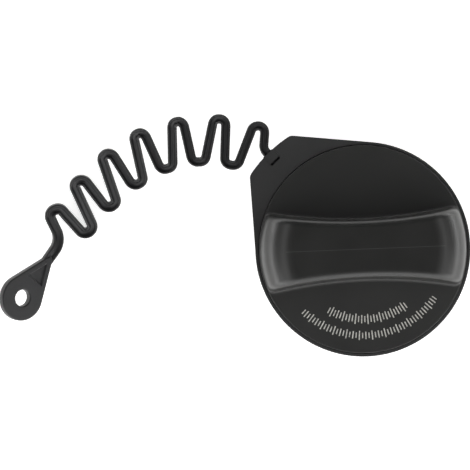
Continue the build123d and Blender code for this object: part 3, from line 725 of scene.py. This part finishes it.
@dataclass
class Strap:
    """Serpentine strap moulded in one with its hooked root and its eyelet.

    It stands in for the CAD node and follows the same bends. Its section has two flanges beside a
    groove, above and below, and leans over as the strap twists towards the neck, where it is wider.
    Places are in millimetres here and turn to metres when the mesh is made.
    """

    eyelet: Eyelet = field(default_factory=Eyelet)
    tab_angle: float = 132.5
    tab_radius: float = 51.5
    root_z: float = 40.6
    root_gap: float = 0.2
    root_length: float = 2.1
    bends: tuple[tuple[float, float, float], ...] = (
        (-37.7, 49.0, 40.40),
        (-49.0, 34.3, 38.01),
        (-52.6, 52.2, 37.59),
        (-61.5, 36.3, 32.34),
        (-69.1, 52.2, 32.08),
        (-74.1, 34.5, 24.59),
        (-84.7, 48.7, 25.43),
        (-85.9, 29.3, 16.27),
        (-98.1, 41.5, 18.88),
        (-97.0, 21.2, 8.39),
        (-110.0, 31.7, 13.45),
        (-107.0, 11.4, 2.42),
        (-120.3, 20.6, 9.63),
        (-118.2, 8.3, 5.20),
    )
    bend_radius: float = 2.6
    entry_radius: float = 4.0
    neck_radius: float = 7.0
    root_half_width: float = 1.75
    neck_half_width: float = 2.15
    half_height: float = 1.8
    sink: float = 0.3
    sink_from: float = 0.96
    quarter: tuple[tuple[float, float], ...] = (
        (1.0, 0.2),
        (1.0, 0.62),
        (0.95, 0.83),
        (0.85, 0.96),
        (0.72, 1.0),
        (0.6, 0.95),
        (0.5, 0.82),
        (0.4, 0.62),
        (0.24, 0.5),
        (0.08, 0.46),
    )
    arc_steps: int = 10
    twist_deg: float = 16.0
    turn_from: float = 0.93
    tongue_length: float = 6.1
    tongue_width: float = 4.5
    tongue_height: float = 2.1
    barb_radius: float = 47.4
    barb_length: float = 0.6
    barb_width: float = 3.9
    barb_height: float = 1.7

    def outward(self) -> np.ndarray:
        """Give the level direction from the cap's axis to the tab's middle."""
        turn = math.radians(self.tab_angle)
        return np.array([math.cos(turn), math.sin(turn), 0.0])

    def root(self) -> np.ndarray:
        """Give the place on the tab's edge where the strap starts."""
        return self.outward() * self.tab_radius + np.array([0.0, 0.0, self.root_z])

    def corners(self) -> np.ndarray:
        """Cut each bend by two corners, a radius before it and after it.

        Returns:
            Corners from the root over the bends to the end in the eyelet.
        """
        outward, root, bends = self.outward(), self.root(), np.array(self.bends)
        before, after = np.vstack([root, bends[:-2]]), bends[1:]
        along = after - before
        along *= self.bend_radius / np.linalg.norm(along, axis=1, keepdims=True)
        pairs = np.stack([bends[:-1] - along, bends[:-1] + along], axis=1).reshape(-1, 3)
        start = root + outward * self.root_gap
        level = [start, start + outward * self.root_length]
        return np.vstack([level, pairs, bends[-1], self.eyelet.neck_place()])

    def route(self) -> tuple[np.ndarray, np.ndarray]:
        """Round the strap's corners.

        A corner K with unit directions u in and v out, turned by an angle a, gets an arc of radius
        r that starts at A = K - r tan(a/2) u and runs A + r (sin p u + (1 - cos p) n), where n
        stands square to u on the inner side and p goes from 0 to a.

        Returns:
            Middles and unit tangents of the rings.
        """
        corners = self.corners()
        radius = np.full(len(corners) - 2, self.bend_radius)
        radius[0], radius[-1] = self.entry_radius, self.neck_radius
        way = np.diff(corners, axis=0)
        way /= np.linalg.norm(way, axis=1, keepdims=True)
        into, out = way[:-1], way[1:]
        cosine = np.clip((into * out).sum(axis=1), -1, 1)
        bent = np.arccos(cosine)
        inner = (out - into * cosine[:, None]) / np.sin(bent)[:, None]
        start = corners[1:-1] - (radius * np.tan(bent / 2))[:, None] * into
        swing = bent[:, None] * np.linspace(0, 1, self.arc_steps)[None, :]
        sine, rest = np.sin(swing)[..., None], 1 - np.cos(swing)[..., None]
        arcs = start[:, None] + radius[:, None, None] * (sine * into[:, None] + rest * inner[:, None])
        tangents = (1 - rest) * into[:, None] + sine * inner[:, None]
        middles = np.vstack([corners[0], arcs.reshape(-1, 3), corners[-1]])
        return middles, np.vstack([way[0], tangents.reshape(-1, 3), way[-1]])

    def tops(self, share: np.ndarray) -> np.ndarray:
        """Lean the section's top over with the twist, and turn it to the eyelet's at the end.

        Args:
            share: each ring's share of the strap's length.

        Returns:
            Directions that the rings' tops look in.
        """
        lean = np.radians(self.twist_deg * share[:, None])
        heading = (np.array(self.bends[-1]) - self.root()) * (1.0, 1.0, 0.0)
        side = np.cross((0.0, 0.0, 1.0), heading / np.linalg.norm(heading))
        tops = np.array([[0.0, 0.0, 1.0]]) * np.cos(lean) + side * np.sin(lean)
        ending = np.clip((share[:, None] - self.turn_from) / (1 - self.turn_from), 0, 1)
        return tops * (1 - ending) + np.array([self.eyelet.normal]) * ending

    def band(self) -> Shell:
        """Sweep the section along the route.

        A quarter of the section runs from the flank over the flange into the groove. Mirrored in
        x, in both and in y it closes. Half the width multiplies x, half the height y. The last of
        the strap sinks into the eyelet's plate.

        Returns:
            Points and faces of the closed band.
        """
        middles, tangents = self.route()
        run = np.concatenate([[0.0], np.linalg.norm(np.diff(middles, axis=0), axis=1).cumsum()])
        share = run / run[-1]
        across = np.cross(tangents, self.tops(share))
        across /= np.linalg.norm(across, axis=1, keepdims=True)
        tops = np.cross(across, tangents)
        quarter = np.array(self.quarter)
        left = quarter[::-1] * (-1, 1)
        section = np.vstack([quarter, left, -quarter, -left])
        half = self.root_half_width + (self.neck_half_width - self.root_half_width) * share
        ending = np.clip((share - self.sink_from) / (1 - self.sink_from), 0, 1)
        x = half[:, None, None] * section[None, :, :1]
        y = (self.half_height * (1 - self.sink * ending))[:, None, None] * section[None, :, 1:]
        return tube(middles[:, None] + x * across[:, None] + y * tops[:, None])

    def block(self, far: float, length: float, width: float, low: float, high: float) -> Shell:
        """Make a box in the tab's socket.

        Args:
            far: its outer end from the cap's axis.
            length: its length towards the axis.
            width: its width across.
            low: its bottom's height.
            high: its top's height.

        Returns:
            Corners and faces.
        """
        outward = self.outward()
        across = np.array([-outward[1], outward[0], 0.0])
        corner = box_corners(far - length, far, width / 2)
        height = low + (high - low) * corner[:, 2:]
        points = corner[:, :1] * outward + corner[:, 1:2] * across + height * (0.0, 0.0, 1.0)
        return points, [list(side) for side in BOX_SIDES]

    def hook(self) -> tuple[Shell, Shell]:
        """Make the tongue in the socket and the barb that clicks into the slot.

        Returns:
            Points and faces of each.
        """
        z, half = self.root_z, self.tongue_height / 2
        tongue_end = self.tab_radius + self.root_gap
        barb_end = self.barb_radius + self.barb_length / 2
        tongue = self.block(tongue_end, self.tongue_length, self.tongue_width, z - half, z + half)
        return tongue, self.block(barb_end, self.barb_length, self.barb_width, z, z + self.barb_height)

    def build(self) -> None:
        """Make the strap in place of its node."""
        points, faces, count = [], [], 0
        for shell_points, shell_faces in (self.band(), self.eyelet.mesh(), *self.hook()):
            points.append(shell_points)
            faces += [[number + count for number in face] for face in shell_faces]
            count += len(shell_points)
        material = STRAP_ELASTOMER.material()
        strap = mesh_object("tether_strap_moulding", np.vstack(points) * MM, faces, material, True)
        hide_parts("tether_strap")
        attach(strap, Body.TETHER.value)
        report(strap, Body.TETHER)


@dataclass
class Tether:
    """Ring that turns round the cover, and its strap."""

    def build(self) -> None:
        """Dress the ring and make the strap."""
        dress("tether_ring", RING_NYLON.material())
        Strap().build()


@dataclass
class Plug:
    """Threaded plug with its gasket, ratchet ring and slip washer."""

    def build(self) -> None:
        """Dress the nodes."""
        dress("plug_body", PLUG_ACETAL.material())
        dress("neck_gasket", GASKET_RUBBER.material())
        dress("thrust_washer", SLIP_POLYMER.material())
        dress("ratchet_ring", NATURAL_ACETAL.material())


@dataclass(frozen=True)
class CoilSpring:
    """Compression spring of round wire between two bodies, with closed end coils.

    It stands in for the CAD node's plain coil and fills the node's box.
    """

    name: str
    node: str
    low_body: Body
    high_body: Body
    wire_radius: float
    coils: float = 4.0
    end_pitch: float = 2.2
    rings: int = 220
    sides: int = 14

    def mesh(self) -> Shell:
        """Lay the wire's skin.

        At share t of the wire its middle is at angle 2 pi n t for n coils and at height
        t - k sin(2 pi t) / (2 pi) of the way up, where k leaves the end coils a wire's thickness
        apart. Round it lies a circle across the wire, turned to stand square to the helix.

        Returns:
            Points and faces of the closed wire.
        """
        low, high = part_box(self.node)
        bottom, top = low[2] + self.wire_radius, high[2] - self.wire_radius
        coil = (high[0] - low[0]) / 2 - self.wire_radius
        share = np.linspace(0, 1, self.rings)[:, None]
        pitch = (top - bottom) / self.coils
        ease = 1 - self.end_pitch * self.wire_radius / pitch
        turn = 2 * np.pi * self.coils * share
        rise = share - ease * np.sin(2 * np.pi * share) / (2 * np.pi)
        climb = (top - bottom) * (1 - ease * np.cos(2 * np.pi * share))
        slope = np.arctan2(climb, 2 * np.pi * self.coils * coil)
        round_wire = np.linspace(0, 2 * np.pi, self.sides, endpoint=False)[None, :]
        out = coil + self.wire_radius * np.cos(round_wire)
        lift = self.wire_radius * np.sin(round_wire)
        back = -lift * np.sin(slope)
        x = out * np.cos(turn) - back * np.sin(turn)
        y = out * np.sin(turn) + back * np.cos(turn)
        return tube(np.stack([x, y, bottom + (top - bottom) * rise + lift * np.cos(slope)], axis=-1))

    def build(self, material: bpy.types.Material) -> None:
        """Make the spring in place of the CAD node's coil.

        Args:
            material: the wire's finish.
        """
        points, faces = self.mesh()
        spring = mesh_object(self.name, points, faces, material, True)
        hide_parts(self.node)
        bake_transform(spring)
        report(spring, self.low_body)


@dataclass
class Valve:
    """Pressure and vacuum valve in its cartridge."""

    springs: tuple[CoilSpring, ...] = (
        CoilSpring("pressure_coil_spring", "pressure_spring", Body.PRESSURE_VALVE, Body.PLUG, 0.55 * MM),
        CoilSpring(
            "vacuum_coil_spring", "vacuum_spring", Body.PRESSURE_VALVE, Body.VACUUM_VALVE, 0.25 * MM
        ),
    )

    def build(self) -> None:
        """Dress the nodes and wind the springs."""
        acetal = NATURAL_ACETAL.material()
        rubber = VALVE_RUBBER.material()
        steel = SPRING_STEEL.material()
        for node in ("valve_housing", "valve_seat_plate", "pressure_valve_plate", "vacuum_poppet"):
            dress(node, acetal)
        for node in ("housing_o_ring", "pressure_valve_seal", "vacuum_seal"):
            dress(node, rubber)
        for node in ("spring_seat_washer", "vacuum_stem_clip"):
            dress(node, steel)
        for spring in self.springs:
            spring.build(steel)


# ---------------------------------------------------------------------------
# Studio
# ---------------------------------------------------------------------------


@dataclass(frozen=True)
class Glow:
    """One light of the tent: a brightness over height, which may fade in along X or Y.

    Each stop pairs the sine of an elevation with a share of the strength. A light with an axis is
    nothing at a direction's start coordinate on it and full from the second one on.
    """

    strength: float
    stops: tuple[tuple[float, float], ...]
    axis: str = ""
    start: float = 0.0
    full: float = 0.0
    both_sides: bool = False

    def add(
        self, tree: bpy.types.NodeTree, way: bpy.types.Node, others: bpy.types.NodeSocket | None
    ) -> bpy.types.NodeSocket:
        """Add the light to a world.

        Args:
            tree: the world's node tree.
            way: node that separates the direction's coordinates.
            others: the lights added before, if any.

        Returns:
            This light and the others together.
        """
        height = add_node(tree, "ShaderNodeValToRGB", None, {"Fac": way.outputs["Z"]})
        elements = height.color_ramp.elements
        while len(elements) < len(self.stops):
            elements.new(1.0)
        for element, (position, value) in zip(elements, self.stops):
            element.position = position
            element.color = (value, value, value, 1.0)
        glow = add_node(
            tree, "ShaderNodeBackground", {"Strength": self.strength}, {"Color": height.outputs["Color"]}
        )
        if self.axis:
            aside = way.outputs[self.axis]
            if self.both_sides:
                mirrored = add_node(tree, "ShaderNodeMath", {"operation": "ABSOLUTE"}, {"Value": aside})
                aside = mirrored.outputs["Value"]
            fade = add_node(
                tree,
                "ShaderNodeMapRange",
                {"From Min": self.start, "From Max": self.full, "To Min": 0.0, "To Max": self.strength},
                {"Value": aside},
            )
            tree.links.new(fade.outputs["Result"], glow.inputs["Strength"])
        if others is None:
            return glow.outputs["Background"]
        both = add_node(tree, "ShaderNodeAddShader")
        tree.links.new(others, both.inputs[0])
        tree.links.new(glow.outputs["Background"], both.inputs[1])
        return both.outputs["Shader"]


@dataclass
class Studio:
    """White light table, a soft tent of light and a camera nearly straight above."""

    picture_px: float = 470.0
    cap_px: tuple[float, float] = (363.1, 249.1)
    mm_per_px: float = 0.3812
    distance: float = 770.0 * MM
    aim_z: float = 44.0 * MM
    tilt_deg: float = 0.6
    roll_deg: float = 2.3
    sensor_mm: float = 36.0
    floor_half: float = 2.0
    clip_near: float = 0.05
    clip_far: float = 20.0
    glows: tuple[Glow, ...] = (
        Glow(4.6, ((0.0, 1.0), (0.15, 0.0), (0.35, 0.0), (0.60, 0.045), (0.86, 0.0), (1.0, 0.03))),
        Glow(3.44, ((0.0, 0.1), (0.15, 0.0), (0.35, 1.0), (0.60, 0.5), (0.86, 0.0)), "Y", 0.0, -0.5),
        Glow(
            6.1, ((0.0, 1.0), (0.15, 0.0), (0.65, 0.0), (0.80, 0.33), (0.95, 0.0)), "X", 0.3, 0.5, True
        ),
    )

    def build(self) -> None:
        """Make the floor, the light and the camera."""
        self.floor()
        self.light()
        self.camera()

    def floor(self) -> None:
        """Lay the light table under the plug."""
        reach = self.floor_half
        corners = box_corners(-reach, reach, reach)[:4]
        corners[:, 2] = CAD_LOW[2]
        table = mesh_object("light_table", corners, [[0, 1, 2, 3]], LIGHT_TABLE.material(), False)

    def light(self) -> None:
        """Light the scene by the tent and its softboxes."""
        world = bpy.data.worlds.new("light tent")
        world.use_nodes = True
        tree = world.node_tree
        tree.nodes.clear()
        place = add_node(tree, "ShaderNodeTexCoord")
        way = add_node(tree, "ShaderNodeSeparateXYZ", None, {"Vector": place.outputs["Generated"]})
        light = None
        for glow in self.glows:
            light = glow.add(tree, way, light)
        add_node(tree, "ShaderNodeOutputWorld", None, {"Surface": light})
        bpy.context.scene.world = world
        bpy.context.scene.view_settings.view_transform = "Standard"

    def camera(self) -> None:
        """Place the camera so that the cap's middle falls on its place in the picture."""
        tilt, roll = math.radians(self.tilt_deg), math.radians(self.roll_deg)
        back = Vector((0.0, -math.sin(tilt), math.cos(tilt)))
        right = Vector((1.0, 0.0, 0.0))
        up = back.cross(right)
        turn = Matrix.Rotation(-roll, 3, "Z")
        back, right, up = turn @ back, turn @ right, turn @ up
        scale = self.mm_per_px * MM
        across = (self.cap_px[0] - self.picture_px / 2) * scale
        down = (self.cap_px[1] - self.picture_px / 2) * scale
        place = Vector((0, 0, self.aim_z)) + back * self.distance - right * across + up * down
        data = bpy.data.cameras.new("camera")
        data.sensor_width = self.sensor_mm
        data.lens = self.distance / (self.picture_px * scale) * self.sensor_mm
        data.clip_start, data.clip_end = self.clip_near, self.clip_far
        made = bpy.data.objects.new("camera", data)
        made.matrix_world = Matrix(
            (
                (right.x, up.x, back.x, place.x),
                (right.y, up.y, back.y, place.y),
                (right.z, up.z, back.z, place.z),
                (0, 0, 0, 1),
            )
        )
        bpy.context.scene.collection.objects.link(made)
        bpy.context.scene.camera = made


def main() -> None:
    """Build the cap's looks and the studio in order."""
    for assembly in (Cover(), Tether(), Plug(), Valve(), Studio()):
        assembly.build()


if __name__ == "__main__":
    main()
